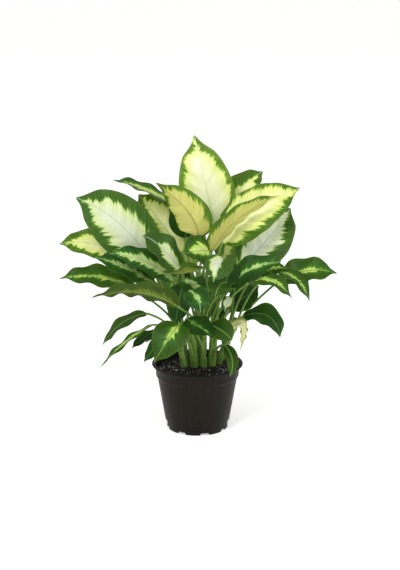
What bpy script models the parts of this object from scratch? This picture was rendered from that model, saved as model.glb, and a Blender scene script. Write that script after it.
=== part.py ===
"""Potted dieffenbachia: moulded grower's pot, compost, canes, and one solid for each leaf.

Metres, +Z up. The origin is the middle of the pot's foot, on the surface it stands on.
Lengths in the tables and constants below are millimetres, and MM turns them to metres.
"""
from collections import namedtuple
from math import cos, pi, radians, sin

import bmesh
import bpy
from mathutils import Quaternion, Vector

MM = 0.001
GAP = 0.3                      # clearance between neighbouring pieces

# Pot: a six-inch grower's pot.
POT_HEIGHT = 112
RIM_RADIUS = 76
BAND_RADIUS = 70.5             # upright band just under the lip
BAND_FOOT = 90                 # height where the band steps in to the tapered wall
WALL_TOP_RADIUS = 66.5
WALL_FOOT_RADIUS = 54
FOOT_RADIUS = 51
FOOT_HEIGHT = 13
FLOOR_HEIGHT = 6               # underside of the raised floor
WALL = 1.6
POT_SIDES = 48
NOTCHES = 8                    # drain notches through the foot ring, and as many drain holes
NOTCH_START = 14               # angle in degrees from the front to the first notch
NOTCH_WIDTH = 15
NOTCH_HEIGHT = 4
DRAIN_RADIUS = 5
DRAIN_CIRCLE = 34              # the drain holes' distance from the axis

# Compost
SOIL_EDGE = 103
SOIL_CROWN = 106

# Canes and petioles
CANE_RADIUS = 5.8
CANE_SIDES = 12
CANE_DEPTH = 30                # how far a cane goes down into the compost
SHEATH_RADIUS = 3.0            # petiole where it clasps the cane
PETIOLE_RADIUS = 2.0
PETIOLE_BEND = 0.35            # length of the curve's handles, as a share of its reach

# Blades
BLADE_THICKNESS = 1.0          # at the midrib
BLADE_BASE_POWER = 0.6         # roundness of the blade's base
BLADE_TIP_POWER = 1.1          # sharpness of its tip
BLADE_STATIONS = (0.0, 0.06, 0.2, 0.38, 0.58, 0.77, 0.92)
PETIOLE_STATIONS = (0.0, 0.35, 0.7)

Cane = namedtuple("Cane", "name foot top")
CANES = (
    Cane("left", (-21, 2), (-36, 0, 205)),
    Cane("front_left", (-5, -4), (-10, -10, 190)),
    Cane("front_right", (10, 0), (7, 2, 240)),
    Cane("right", (24, 3), (30, 3, 205)),
    Cane("leaning", (37, 18), (64, 20, 185)),
    Cane("crown", (1, 22), (3, 32, 262)),
    Cane("rear", (-20, 24), (-36, 34, 218)),
)

# One leaf is a petiole and a blade. attach is the height where the petiole leaves its cane, and
# turn the angle in degrees round the cane between that place and the blade's own direction.
# base, middle and tip are points of the midrib, face is the way the upper side looks, and
# fold is the angle in degrees that each half of the blade is lifted by.
Leaf = namedtuple("Leaf", "name cane attach turn base middle tip face width fold")
LEAVES = (
    Leaf("crown", "crown", 251, 0, (31, 45, 330), (13, 46, 406), (-5, 75, 483),
         (0, -1, 0.25), 92, 8),
    Leaf("top_right", "crown", 248, 50, (48, 73, 365), (78, 85, 395), (111, 107, 416),
         (-0.1, -0.75, 0.65), 53, 12),
    Leaf("big_right", "right", 195, 0, (41, 14, 314), (99, 8, 372), (169, 30, 403),
         (-0.1, -0.85, 0.5), 78, 8),
    Leaf("tan_right", "front_right", 205, 40, (24, -10, 306), (64, -26, 363), (132, -16, 400),
         (-0.5, 0.6, 0.6), 62, 12),
    Leaf("yellow_middle", "front_right", 187, -80, (0, -14, 330), (-14, -5, 370), (-69, 39, 410),
         (0.1, 0.95, 0.1), 62, 10),
    Leaf("behind_middle", "crown", 200, 0, (-19, 24, 320), (-17, 24, 357), (-14, 30, 393),
         (0, -0.95, 0.3), 60, 8),
    Leaf("edge_left", "rear", 204, -80, (-27, 39, 364), (-86, 33, 399), (-138, 21, 418),
         (0.3, -0.15, 0.93), 50, 10),
    Leaf("cream_left", "rear", 198, 0, (-26, 44, 291), (-67, 52, 349), (-98, 60, 386),
         (0, -0.9, 0.4), 70, 8),
    Leaf("big_left", "left", 190, 0, (-76, -14, 290), (-131, -26, 360), (-196, -22, 397),
         (-0.1, -0.95, 0.35), 94, 8),
    Leaf("left_yellow", "rear", 168, 0, (-117, 8, 295), (-172, -5, 317), (-226, -8, 317),
         (0, -0.7, 0.7), 56, 8),
    Leaf("left_front", "left", 175, 0, (-38, -36, 264), (-87, -56, 301), (-141, -63, 315),
         (0, -0.6, 0.8), 50, 8),
    Leaf("left_second", "left", 158, 0, (-70, -38, 259), (-121, -52, 292), (-164, -55, 306),
         (0, -0.6, 0.8), 44, 8),
    Leaf("left_curled", "rear", 146, 0, (-99, -20, 243), (-162, -25, 267), (-226, -20, 262),
         (0, -0.55, 0.83), 48, 10),
    Leaf("left_arching", "front_left", 174, 50, (-30, -78, 231), (-94, -106, 263), (-166, -116, 256),
         (-0.05, 0.6, 0.75), 58, 10),
    Leaf("low_left_1", "left", 140, -40, (-82, -45, 210), (-123, -56, 196), (-154, -62, 161),
         (-0.2, -0.3, 0.93), 32, 6),
    Leaf("low_left_2", "front_left", 134, 0, (-73, -66, 197), (-118, -82, 170), (-157, -90, 132),
         (-0.5, -0.2, 0.8), 24, 6),
    Leaf("low_left_3", "left", 128, 0, (-71, -42, 179), (-88, -52, 170), (-107, -60, 155),
         (-0.4, -0.5, 0.75), 24, 10),
    Leaf("low_left_4", "rear", 128, 0, (-64, 4, 162), (-77, 0, 158), (-85, -6, 148),
         (-0.4, -0.5, 0.75), 22, 10),
    Leaf("front_left", "front_left", 128, 40, (-28, -85, 204), (-45, -107, 187), (-69, -117, 149),
         (-0.2, -0.75, 0.6), 60, 5),
    Leaf("front_rim", "front_left", 126, 20, (-47, -72, 183), (-66, -90, 168), (-86, -100, 144),
         (-0.4, -0.6, 0.7), 30, 5),
    Leaf("front_dark", "front_right", 128, 20, (-17, -65, 207), (3, -85, 199), (25, -101, 189),
         (0.1, -0.55, 0.83), 46, 8),
    Leaf("front_low", "right", 135, 0, (19, -72, 199), (39, -93, 195), (56, -103, 182),
         (0.1, -0.8, 0.6), 42, 5),
    Leaf("over_rim", "right", 120, 0, (45, -36, 153), (57, -58, 135), (53, -66, 109),
         (0.2, -0.9, 0.3), 22, 5),
    Leaf("withered", "leaning", 138, 0, (49, -36, 179), (74, -52, 192), (69, -60, 149),
         (0, -0.7, 0.7), 20, 5),
    Leaf("low_right", "leaning", 146, 0, (75, -20, 198), (115, -40, 204), (135, -52, 171),
         (0.1, -0.55, 0.83), 44, 8),
    Leaf("right_white", "leaning", 172, 20, (71, 26, 265), (120, 30, 321), (154, 42, 367),
         (-0.2, -0.93, 0.35), 88, 14),
    Leaf("right_middle", "right", 170, -80, (53, -33, 254), (89, -43, 285), (136, -45, 297),
         (-0.1, -0.6, 0.8), 50, 8),
    Leaf("right_second", "leaning", 158, -50, (87, -5, 255), (116, -13, 275), (147, -15, 278),
         (-0.1, -0.6, 0.8), 36, 8),
    Leaf("far_right", "leaning", 148, 50, (135, 11, 250), (182, 1, 270), (230, -3, 266),
         (0, -0.65, 0.76), 52, 10),
    Leaf("right_front", "right", 155, -80, (82, -50, 264), (120, -68, 272), (152, -72, 243),
         (0.1, -0.45, 0.9), 36, 8),
    Leaf("right_side", "leaning", 156, 0, (128, -14, 273), (163, -26, 261), (183, -34, 227),
         (0.3, -0.4, 0.85), 36, 15),
    Leaf("right_dark", "leaning", 140, 0, (54, 28, 202), (79, 30, 217), (103, 36, 235),
         (0, -0.8, 0.6), 46, 8),
    Leaf("light_corner", "right", 144, 0, (55, -36, 235), (48, -42, 225), (45, -44, 212),
         (0, -0.8, 0.6), 20, 5),
    Leaf("centre_drooping", "front_right", 215, 0, (41, -79, 311), (33, -102, 302), (25, -110, 280),
         (0.1, -0.7, 0.7), 46, 5),
    Leaf("centre_narrow", "right", 196, 0, (56, -28, 290), (51, -42, 276), (40, -48, 254),
         (0.3, -0.6, 0.6), 36, 8),
    Leaf("centre_right", "front_right", 178, 20, (46, -70, 269), (35, -92, 269), (28, -102, 252),
         (0.1, -0.6, 0.8), 42, 5),
    Leaf("yellow_patch", "front_right", 232, -20, (19, -30, 311), (1, -46, 315), (-20, -58, 313),
         (0, -0.75, 0.65), 60, 8),
    Leaf("left_band", "front_left", 164, -50, (-25, -39, 278), (-58, -53, 323), (-88, -55, 342),
         (0, -0.6, 0.8), 54, 8),
    Leaf("wavy", "front_right", 180, 0, (14, -72, 296), (-22, -100, 293), (-56, -106, 295),
         (0, 0.55, 0.83), 46, 15),
    Leaf("mint", "front_left", 183, 70, (-18, -36, 266), (-4, -60, 259), (14, -70, 243),
         (0, -0.6, 0.8), 44, 8),
    Leaf("front_drooping", "front_right", 153, 50, (-12, -105, 265), (1, -131, 259), (5, -143, 239),
         (0, -0.6, 0.8), 42, 8),
    Leaf("inner_left", "left", 166, 20, (-24, -34, 255), (-30, -46, 229), (-36, -54, 193),
         (0, -0.9, 0.4), 44, 8),
    Leaf("inner_right", "right", 194, 70, (31, 29, 261), (38, 45, 239), (44, 51, 204),
         (0, -0.9, 0.4), 36, 8),
    Leaf("rear_1", "rear", 192, 20, (-50, 62, 269), (-96, 98, 309), (-137, 134, 343),
         (0, 0.7, 0.7), 72, 8),
    Leaf("rear_2", "crown", 224, 0, (-11, 52, 265), (-23, 76, 304), (-43, 110, 349),
         (0, 0.8, 0.6), 82, 8),
    Leaf("rear_3", "crown", 200, -30, (30, 76, 254), (52, 106, 279), (101, 134, 340),
         (0, 0.85, 0.55), 84, 8),
    Leaf("rear_4", "crown", 214, -90, (11, 60, 238), (11, 100, 228), (15, 141, 181),
         (0, 0.75, 0.65), 80, 8),
    Leaf("rear_5", "rear", 180, 0, (-34, 66, 253), (-40, 108, 233), (-45, 138, 173),
         (-0.1, 0.75, 0.65), 68, 8),
    Leaf("rear_6", "leaning", 165, -20, (60, 66, 237), (73, 108, 217), (78, 141, 168),
         (0.1, 0.75, 0.65), 66, 8),
    Leaf("rear_7", "crown", 168, 0, (10, 56, 218), (14, 98, 204), (18, 128, 142),
         (0, 0.75, 0.65), 66, 8),
    Leaf("rear_8", "leaning", 145, -20, (32, 52, 163), (49, 84, 177), (62, 114, 185),
         (0.1, 0.6, 0.8), 44, 8),
)

# Colours, as linear values. The pale leaves are cream with a green margin, and four leaves show
# their underside.
POT_COLOUR = (0.02, 0.02, 0.019)
COMPOST_COLOUR = (0.02, 0.016, 0.012)
CANE_COLOUR = (0.12, 0.22, 0.06)
GREEN = (0.1, 0.25, 0.04)
CREAM = (0.7, 0.76, 0.42)
UNDERSIDE = (0.45, 0.5, 0.2)
WITHERED = (0.3, 0.3, 0.08)
CREAM_LEAVES = (
    "crown", "top_right", "big_right", "cream_left", "big_left", "left_yellow", "right_white",
    "centre_drooping", "left_band", "rear_1", "rear_2", "rear_3",
)
TURNED_LEAVES = ("tan_right", "yellow_middle", "left_arching", "wavy")


def clear_scene():
    """Start from nothing."""
    for old in list(bpy.data.objects):
        bpy.data.objects.remove(old, do_unlink=True)


def make_material(name, colour, roughness):
    """A plain finish with the piece's own colour."""
    material = bpy.data.materials.new(name)
    material.use_nodes = True
    shader = material.node_tree.nodes["Principled BSDF"]
    shader.inputs["Base Color"].default_value = (*colour, 1)
    shader.inputs["Roughness"].default_value = roughness
    shader.inputs["Metallic"].default_value = 0
    material.diffuse_color = (*colour, 1)
    return material


def add_object(name, bm, material):
    """Turn a bmesh in millimetres into a named object in metres."""
    bmesh.ops.scale(bm, vec=(MM, MM, MM), verts=bm.verts)
    mesh = bpy.data.meshes.new(name)
    bm.to_mesh(mesh)
    bm.free()
    mesh.materials.append(material)
    mesh.shade_smooth()
    mesh.set_sharp_from_angle(angle=radians(40))
    piece = bpy.data.objects.new(name, mesh)
    bpy.context.scene.collection.objects.link(piece)
    return piece


def turned(profile, sides):
    """Spin an outline of (radius, height) points round Z into a closed shell."""
    bm = bmesh.new()
    points = [bm.verts.new((radius, 0, height)) for radius, height in profile]
    edges = [bm.edges.new(pair) for pair in zip(points, points[1:])]
    bmesh.ops.spin(
        bm, geom=points + edges, cent=(0, 0, 0), axis=(0, 0, 1),
        angle=2 * pi, steps=sides, use_merge=True,
    )
    bmesh.ops.remove_doubles(bm, verts=bm.verts, dist=0.001)
    bmesh.ops.recalc_face_normals(bm, faces=bm.faces)
    return bm


def subtract(piece, cutter_mesh):
    """Cut the closed bodies of a bmesh out of a piece."""
    cutter = add_object(piece.name + "_cutter", cutter_mesh, piece.data.materials[0])
    cutter.hide_render = True
    cutter.display_type = "WIRE"
    modifier = piece.modifiers.new("cut", "BOOLEAN")
    modifier.operation = "DIFFERENCE"
    modifier.object = cutter


def make_pot(material):
    """Thin moulded wall with a rolled lip, a band, a stepped foot and a raised floor."""
    outside = [
        (FOOT_RADIUS - 1, 0), (FOOT_RADIUS, 2), (FOOT_RADIUS, FOOT_HEIGHT - 2),
        (WALL_FOOT_RADIUS, FOOT_HEIGHT + 2), (WALL_TOP_RADIUS, BAND_FOOT - 2),
        (BAND_RADIUS - 1.2, BAND_FOOT + 1), (BAND_RADIUS, POT_HEIGHT - 4),
        (RIM_RADIUS - 1.2, POT_HEIGHT - 3.2), (RIM_RADIUS, POT_HEIGHT - 2), (RIM_RADIUS - 1, POT_HEIGHT),
    ]
    inside = [
        (BAND_RADIUS + 0.5, POT_HEIGHT), (BAND_RADIUS - WALL, POT_HEIGHT - 3),
        (BAND_RADIUS - 1.2 - WALL, BAND_FOOT + 2), (WALL_TOP_RADIUS - WALL, BAND_FOOT - 1),
        (WALL_FOOT_RADIUS - WALL, FOOT_HEIGHT + 3), (FOOT_RADIUS - WALL - 0.6, FOOT_HEIGHT - 1),
        (FOOT_RADIUS - WALL - 0.6, FLOOR_HEIGHT + WALL), (0, FLOOR_HEIGHT + WALL),
    ]
    underside = [(0, FLOOR_HEIGHT), (FOOT_RADIUS - 3.4, FLOOR_HEIGHT), (FOOT_RADIUS - 3.2, 0)]
    profile = inside[::-1] + outside[::-1] + underside[::-1]
    pot = add_object("pot", turned(profile, POT_SIDES), material)
    cutters = bmesh.new()
    for step in range(NOTCHES):
        angle = 2 * pi * step / NOTCHES + radians(NOTCH_START)
        outward = Vector((sin(angle), -cos(angle), 0))
        add_notch(cutters, outward)
        hole = bmesh.ops.create_cone(
            cutters, cap_ends=True, segments=12, depth=4 * WALL,
            radius1=DRAIN_RADIUS, radius2=DRAIN_RADIUS,
        )
        place = outward * DRAIN_CIRCLE + Vector((0, 0, FLOOR_HEIGHT + WALL / 2))
        bmesh.ops.translate(cutters, vec=place, verts=hole["verts"])
    subtract(pot, cutters)
    return pot


def add_notch(bm, outward):
    """A box that opens the foot ring below the raised floor."""
    side = Vector((-outward.y, outward.x, 0))
    box = bmesh.ops.create_cube(bm, size=1)
    for corner in box["verts"]:
        along, across, height = corner.co
        spot = outward * (FOOT_RADIUS - 2 + 8 * along) + side * NOTCH_WIDTH * across
        corner.co = spot + Vector((0, 0, NOTCH_HEIGHT * (height + 0.5) - (0.5 - height)))


def make_soil(material):
    """The root ball: it fills the pot, and each cane has its own socket."""
    profile = [
        (0, FLOOR_HEIGHT + WALL + GAP), (FOOT_RADIUS - WALL - 1, FLOOR_HEIGHT + WALL + GAP),
        (FOOT_RADIUS - WALL - 1, FOOT_HEIGHT - 1), (WALL_FOOT_RADIUS - WALL - 0.5, FOOT_HEIGHT + 3),
        (WALL_TOP_RADIUS - WALL - 0.5, BAND_FOOT - 1), (BAND_RADIUS - WALL - 1.8, BAND_FOOT + 2),
        (BAND_RADIUS - WALL - 1, SOIL_EDGE), (54, SOIL_EDGE + 2), (30, SOIL_CROWN - 0.5), (0, SOIL_CROWN),
    ]
    soil = add_object("soil", turned(profile, POT_SIDES), material)
    cutters = bmesh.new()
    for cane in CANES:
        socket = bmesh.ops.create_cone(
            cutters, cap_ends=True, segments=CANE_SIDES, depth=2 * CANE_DEPTH,
            radius1=CANE_RADIUS + 2 * GAP, radius2=CANE_RADIUS + 2 * GAP,
        )
        bmesh.ops.translate(cutters, vec=(*cane.foot, SOIL_CROWN), verts=socket["verts"])
    subtract(soil, cutters)
    return soil


def ring_points(centre, across, up, offsets):
    """Place (across, up) offsets round a centre."""
    return [centre + across * x + up * y for x, y in offsets]


def loft(rings, end_point=None):
    """Skin rings of equal length. Both sides of a thin blade get the same diagonals."""
    bm = bmesh.new()
    rows = [[bm.verts.new(point) for point in ring] for ring in rings]
    count = len(rows[0])
    for lower, upper in zip(rows, rows[1:]):
        for i in range(count):
            j = (i + 1) % count
            if i % 4 < 2:
                bm.faces.new((lower[i], lower[j], upper[j]))
                bm.faces.new((lower[i], upper[j], upper[i]))
            else:
                bm.faces.new((lower[i], lower[j], upper[i]))
                bm.faces.new((lower[j], upper[j], upper[i]))
    bm.faces.new(rows[0][::-1])
    if end_point is None:
        bm.faces.new(rows[-1])
    else:
        tip = bm.verts.new(end_point)
        for i in range(count):
            bm.faces.new((rows[-1][i], rows[-1][(i + 1) % count], tip))
    bmesh.ops.triangulate(bm, faces=bm.faces)
    bmesh.ops.recalc_face_normals(bm, faces=bm.faces)
    return bm


def cane_centre(cane, height):
    """The cane's axis: upright in the compost, leaning above it."""
    foot = Vector((*cane.foot, SOIL_CROWN))
    top = Vector(cane.top)
    share = max(0, (height - SOIL_CROWN) / (top.z - SOIL_CROWN))
    centre = foot.lerp(top, share)
    return Vector((centre.x, centre.y, height))


def make_cane(cane, material):
    """A round cane that stands in its socket and ends in a blunt growing tip."""
    top = cane.top[2]
    middle = (SOIL_CROWN + top) / 2
    stations = (
        (SOIL_CROWN - CANE_DEPTH + 1, 1.0), (SOIL_CROWN, 1.0), (middle, 1.0),
        (top - 3, 1.0), (top - 1, 0.8), (top, 0.4),
    )
    rings = []
    for height, size in stations:
        offsets = circle_offsets(CANE_RADIUS * size, CANE_SIDES)
        rings.append(ring_points(cane_centre(cane, height), Vector((1, 0, 0)), Vector((0, 1, 0)), offsets))
    return add_object("cane_" + cane.name, loft(rings), material)


def circle_offsets(radius, sides):
    """Offsets of a round ring."""
    return [(radius * cos(2 * pi * i / sides), radius * sin(2 * pi * i / sides)) for i in range(sides)]


def bezier(points, t):
    """A point on a curve of any number of control points."""
    while len(points) > 1:
        points = [a.lerp(b, t) for a, b in zip(points, points[1:])]
    return points[0]


def direction(points, t):
    """The curve's unit tangent."""
    step = 0.01
    return (bezier(points, min(1, t + step)) - bezier(points, max(0, t - step))).normalized()


def square_to(vector, axis):
    """The part of a vector that is square to an axis, at unit length."""
    return (vector - axis * vector.dot(axis)).normalized()


def blade_outline(t):
    """Half-width share along the blade: rounded base, widest before the middle, pointed tip."""
    widest = BLADE_BASE_POWER / (BLADE_BASE_POWER + BLADE_TIP_POWER)
    full = widest ** BLADE_BASE_POWER * (1 - widest) ** BLADE_TIP_POWER
    return t ** BLADE_BASE_POWER * (1 - t) ** BLADE_TIP_POWER / full


def blade_offsets(half_width, thickness, fold):
    """Offsets of a blade's section: thin edges, a V fold at the midrib."""
    offsets = []
    for share, side in ((1, 0), (0.5, 1), (0, 1), (-0.5, 1), (-1, 0), (-0.5, -1), (0, -1), (0.5, -1)):
        across = half_width * share
        offsets.append((across * cos(fold), abs(across) * sin(fold) + side * thickness / 2))
    return offsets


def blade_curve(leaf):
    """Control points of the midrib."""
    base = Vector(leaf.base)
    tip = Vector(leaf.tip)
    return [base, 2 * Vector(leaf.middle) - (base + tip) / 2, tip]


def petiole_curve(leaf, cane):
    """Control points of the petiole: it clasps the cane, then bends out to the blade."""
    base = Vector(leaf.base)
    centre = cane_centre(cane, leaf.attach)
    axis = (Vector(cane.top) - Vector((*cane.foot, SOIL_CROWN))).normalized()
    outward = Quaternion(axis, radians(leaf.turn)) @ square_to(base - centre, axis)
    start = centre + outward * (CANE_RADIUS + GAP + SHEATH_RADIUS)
    reach = (base - start).length
    along_blade = direction(blade_curve(leaf), 0)
    arrive = (along_blade + (base - start).normalized()).normalized()
    handle = PETIOLE_BEND * reach
    return [start, start + axis * handle, base - arrive * handle, base]


def make_leaf(leaf, material):
    """Loft the petiole and its blade as one piece."""
    cane = next(cane for cane in CANES if cane.name == leaf.cane)
    petiole = petiole_curve(leaf, cane)
    blade = blade_curve(leaf)
    stations = [(petiole, t, False) for t in PETIOLE_STATIONS]
    stations += [(blade, t, True) for t in BLADE_STATIONS]
    fold = radians(leaf.fold)
    rings = []
    normal = Vector(leaf.face)
    for curve, t, in_blade in reversed(stations):
        along = direction(curve, t)
        normal = square_to(Vector(leaf.face) if in_blade else normal, along)
        across = along.cross(normal)
        if in_blade and t > 0:
            half_width = leaf.width / 2 * blade_outline(t)
            offsets = blade_offsets(half_width, BLADE_THICKNESS, fold)
        else:
            radius = PETIOLE_RADIUS + (SHEATH_RADIUS - PETIOLE_RADIUS) * (1 - t) ** 2 * (not in_blade)
            offsets = circle_offsets(radius, 8)
        rings.append(ring_points(bezier(curve, t), across, normal, offsets))
    return add_object("leaf_" + leaf.name, loft(rings[::-1], Vector(leaf.tip)), material)


def leaf_colour(leaf):
    """The colour that covers most of a leaf."""
    if leaf.name == "withered":
        return WITHERED
    if leaf.name in TURNED_LEAVES:
        return UNDERSIDE
    return CREAM if leaf.name in CREAM_LEAVES else GREEN


def main():
    clear_scene()
    make_pot(make_material("pot_plastic", POT_COLOUR, 0.45))
    make_soil(make_material("compost", COMPOST_COLOUR, 0.95))
    for cane in CANES:
        make_cane(cane, make_material("cane_" + cane.name + "_skin", CANE_COLOUR, 0.45))
    for leaf in LEAVES:
        make_leaf(leaf, make_material("leaf_" + leaf.name + "_skin", leaf_colour(leaf), 0.4))


main()
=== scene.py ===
# %% [markdown]
# # A potted dieffenbachia
# A variegated dieffenbachia is a clump of canes. Each cane carries a spiral of leaves, and each leaf is
# one growth: a sheath that wraps the cane, a round petiole, and a blade with a strong midrib. The clump
# stands in a black grower's pot of compost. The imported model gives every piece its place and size, and
# this script gives each its real surface.

# %% Load the frame
from collections import namedtuple
from math import cos, exp, pi, radians, sin, sqrt
import random

import bmesh
import bpy
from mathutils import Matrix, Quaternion, Vector, noise


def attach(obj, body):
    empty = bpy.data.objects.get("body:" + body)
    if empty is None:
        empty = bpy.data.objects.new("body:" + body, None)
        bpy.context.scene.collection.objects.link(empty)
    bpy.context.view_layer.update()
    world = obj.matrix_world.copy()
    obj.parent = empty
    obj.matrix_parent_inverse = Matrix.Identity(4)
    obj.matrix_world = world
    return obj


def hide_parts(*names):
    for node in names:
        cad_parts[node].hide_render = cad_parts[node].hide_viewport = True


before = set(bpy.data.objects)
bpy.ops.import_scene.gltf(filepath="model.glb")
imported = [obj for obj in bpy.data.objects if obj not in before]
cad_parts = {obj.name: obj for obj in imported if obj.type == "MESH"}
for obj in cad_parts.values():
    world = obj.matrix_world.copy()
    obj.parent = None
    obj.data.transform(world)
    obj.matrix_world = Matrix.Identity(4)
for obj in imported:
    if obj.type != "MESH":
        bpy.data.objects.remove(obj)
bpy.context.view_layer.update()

print("nodes in the frame:", len(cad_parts))

# %% [markdown]
# ## Units and finished pieces
# Plants are measured in millimetres, and Blender counts in metres. Every mesh here is drawn in
# millimetres round the pot's own axis and scaled once, when it is finished. Its object stays at the
# origin, so patterns that read object coordinates line up with the real piece.

# %% Finish a mesh as a piece
MM = 0.001
MERGE_DISTANCE = 0.001  # points that lie closer than this, in millimetres, are one point
CREASE = radians(50)  # a fold sharper than this is shaded as an edge


def finish_piece(name, bm, skins, slot, *nodes):
    """Turn a bmesh in millimetres into a named piece that stands for its CAD nodes."""
    bmesh.ops.remove_doubles(bm, verts=bm.verts, dist=MERGE_DISTANCE)
    bmesh.ops.recalc_face_normals(bm, faces=bm.faces)
    bmesh.ops.scale(bm, vec=(MM, MM, MM), verts=bm.verts)
    mesh = bpy.data.meshes.new(name)
    bm.to_mesh(mesh)
    bm.free()
    for skin in skins:
        mesh.materials.append(skin)
    mesh.shade_smooth()
    mesh.set_sharp_from_angle(angle=CREASE)
    piece = bpy.data.objects.new(name, mesh)
    bpy.context.scene.collection.objects.link(piece)
    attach(piece, "root")
    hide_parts(*nodes)
    return piece


print("a millimetre in Blender's units:", MM)

# %% [markdown]
# ## Drawing a surface on a grid
# A leaf blade, a petiole and a cane are all sheets rolled or bent in space. The shortest way to make
# one is to lay out a flat grid and carry each of its points to its place on the surface. Where the
# sheet closes on itself, the doubled points along the seam are merged when the piece is finished.

# %% Bend a grid
def bend_grid(bm, columns, rows, place, skin=0):
    """Add a grid whose point (u, v), each from 0 to 1, goes to place(u, v), and return its points."""
    size = 0.5
    made = bmesh.ops.create_grid(bm, x_segments=columns, y_segments=rows, size=size)["verts"]
    spots = [(vertex, vertex.co.x + size, vertex.co.y + size) for vertex in made]
    for vertex, u, v in spots:
        vertex.co = place(u, v)
    for face in {face for vertex in made for face in vertex.link_faces}:
        face.material_index = skin
        face.smooth = True
    return spots


flat = bmesh.new()
print("points in a grid of 4 by 3 faces:", len(bend_grid(flat, 4, 3, lambda u, v: (u, v, 0))))
flat.free()

# %% [markdown]
# ## Adding shader nodes
# A material is a small graph. One helper adds any node, sets it up and links it, so that each material
# below reads as a list of what it is made of. Colours are hex values, which one function turns to the
# linear values that light is counted in.

# %% Node and colour helpers
def add_node(tree, kind, inputs=(), **settings):
    """Add a shader node. inputs maps each socket to a value, a node or another socket."""
    made = tree.nodes.new("ShaderNode" + kind)
    for name, value in settings.items():
        setattr(made, name, value)
    for socket, value in dict(inputs).items():
        if isinstance(value, bpy.types.Node):
            value = value.outputs[0]
        if isinstance(value, bpy.types.NodeSocket):
            tree.links.new(value, made.inputs[socket])
        else:
            made.inputs[socket].default_value = value
    return made


def channels(hex_colour):
    """Red, green and blue of a hex colour, from 0 to 255."""
    return [int(hex_colour[i:i + 2], 16) for i in (1, 3, 5)]


def linear(hex_colour):
    """An sRGB hex colour as linear RGBA, by the curve of the sRGB standard."""
    parts = [part / 255 for part in channels(hex_colour)]
    return (*[c / 12.92 if c <= 0.04045 else ((c + 0.055) / 1.055) ** 2.4 for c in parts], 1)


def blend_colours(first, second, share):
    """A hex colour part of the way from one to another."""
    pairs = zip(channels(first), channels(second))
    return "#" + "".join(f"{round(a + (b - a) * share):02x}" for a, b in pairs)


print("mid grey #808080 in linear light:", round(linear("#808080")[0], 3))


# %% Material helpers
def new_material(name, roughness, **sockets):
    """A material with its Principled shader ready for links."""
    material = bpy.data.materials.new(name)
    material.use_nodes = True
    shader = material.node_tree.nodes["Principled BSDF"]
    shader.inputs["Roughness"].default_value = roughness
    for socket, value in sockets.items():
        shader.inputs[socket.replace("_", " ")].default_value = value
    return material, material.node_tree, shader


def set_stops(ramp, places, colours):
    """Lay hex colours on a colour ramp, at places in rising order."""
    stops = ramp.color_ramp.elements
    stops[0].position = places[0]
    stops[-1].position = places[-1]
    for place in places[1:-1]:
        stops.new(place)
    for stop, colour in zip(stops, colours):
        stop.color = linear(colour)


def two_tone(tree, shader, pattern, places, colours):
    """Colour the surface from a pattern's low places to its high ones, and return the ramp."""
    ramp = add_node(tree, "ValToRGB", {"Fac": pattern})
    set_stops(ramp, places, colours)
    tree.links.new(ramp.outputs[0], shader.inputs["Base Color"])
    return ramp


def waves(tree, distance, spacing):
    """The cosine of a distance in metres, with a crest every so many millimetres."""
    turns = add_node(tree, "Math", {0: distance, 1: 2 * pi / (spacing * MM)}, operation="MULTIPLY")
    return add_node(tree, "Math", {0: turns}, operation="COSINE")


def emboss(tree, shader, pattern, height, strength):
    """Raise the surface by a pattern, which stands for a height in millimetres."""
    raised = add_node(tree, "Math", {0: pattern, 1: height * MM}, operation="MULTIPLY")
    relief = add_node(tree, "Bump", {"Height": raised, "Strength": strength, "Distance": 1.0})
    tree.links.new(relief.outputs[0], shader.inputs["Normal"])


# %% [markdown]
# ## Camera, light and floor
# The plant is looked at from 15 degrees above the horizon with a long lens. A pale floor and a bright
# sky give the soft, even light of a product studio, and one large lamp from the upper left models the
# leaves.

# %% Camera
CAMERA_TARGET = Vector((0.0044, 0, 0.2458))
CAMERA_DISTANCE = 2.5
CAMERA_TILT = radians(15)
LENS = 95.7  # in millimetres, as the next one is
SENSOR_HEIGHT = 36

camera_data = bpy.data.cameras.new("camera")
camera_data.sensor_fit = "VERTICAL"
camera_data.sensor_height = SENSOR_HEIGHT
camera_data.lens = LENS
camera = bpy.data.objects.new("camera", camera_data)
camera.location = CAMERA_TARGET + CAMERA_DISTANCE * Vector((0, -cos(CAMERA_TILT), sin(CAMERA_TILT)))
camera.rotation_euler = (pi / 2 - CAMERA_TILT, 0, 0)
bpy.context.scene.collection.objects.link(camera)
bpy.context.scene.camera = camera
bpy.context.scene.view_settings.view_transform = "Standard"
print("camera at", [round(x, 3) for x in camera.location])

# %% Floor
FLOOR_RADIUS = 30  # in metres, so that its edge is out of sight
WHITE = (1, 1, 1, 1)
PAPER_GLOW = 0.42  # an overlit sweep, as in a studio

floor_mesh = bmesh.new()
bmesh.ops.create_circle(floor_mesh, cap_ends=True, segments=96, radius=FLOOR_RADIUS)
floor_data = bpy.data.meshes.new("floor")
floor_mesh.to_mesh(floor_data)
floor_mesh.free()
floor = bpy.data.objects.new("floor", floor_data)
bpy.context.scene.collection.objects.link(floor)
paper, _, paper_shader = new_material("studio_paper", 0.9)
paper_shader.inputs["Base Color"].default_value = linear("#f6f6f4")
paper_shader.inputs["Emission Color"].default_value = WHITE
paper_shader.inputs["Emission Strength"].default_value = PAPER_GLOW
floor_data.materials.append(paper)
print("floor radius:", FLOOR_RADIUS, "m")

# %% Sky and lamps
SKY_STRENGTH = 0.62
LAMPS = (  # name, place and width in metres, power in watts
    ("key_lamp", (-0.9, -1.7, 1.9), 1.0, 32),
    ("fill_lamp", (1.6, -1.2, 1.2), 1.2, 12),
)


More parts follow.
